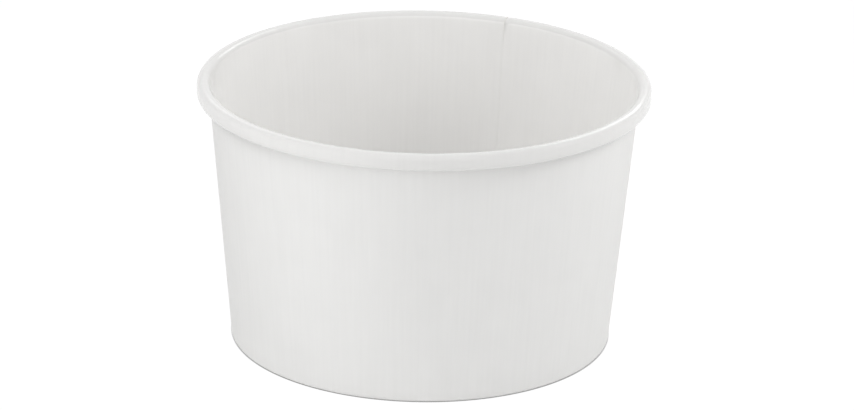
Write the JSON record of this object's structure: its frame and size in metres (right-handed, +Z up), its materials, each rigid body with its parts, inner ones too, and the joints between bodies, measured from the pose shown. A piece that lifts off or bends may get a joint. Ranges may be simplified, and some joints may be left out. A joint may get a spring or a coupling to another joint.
{
  "type": "paper soup container",
  "caption": "Open tapered paperboard tub with a rolled rim, a lap side seam and a recessed, hemmed base.",
  "frame": {"origin": "middle of the foot, in the plane that the container stands on", "axes": "+Z up along the container's axis, -Y towards the side that the picture shows, and the lap seam's inner edge 67.5 degrees from +X towards +Y"},
  "size_m": [0.115, 0.115, 0.068],
  "materials": {
    "wall_board": "smooth white coated paperboard, with a fine upright grain",
    "base_board": "white coated paperboard"
  },
  "bodies": {
    "root": {"side_wall": "wall_board", "base_disc": "base_board"}
  },
  "joints": []
}
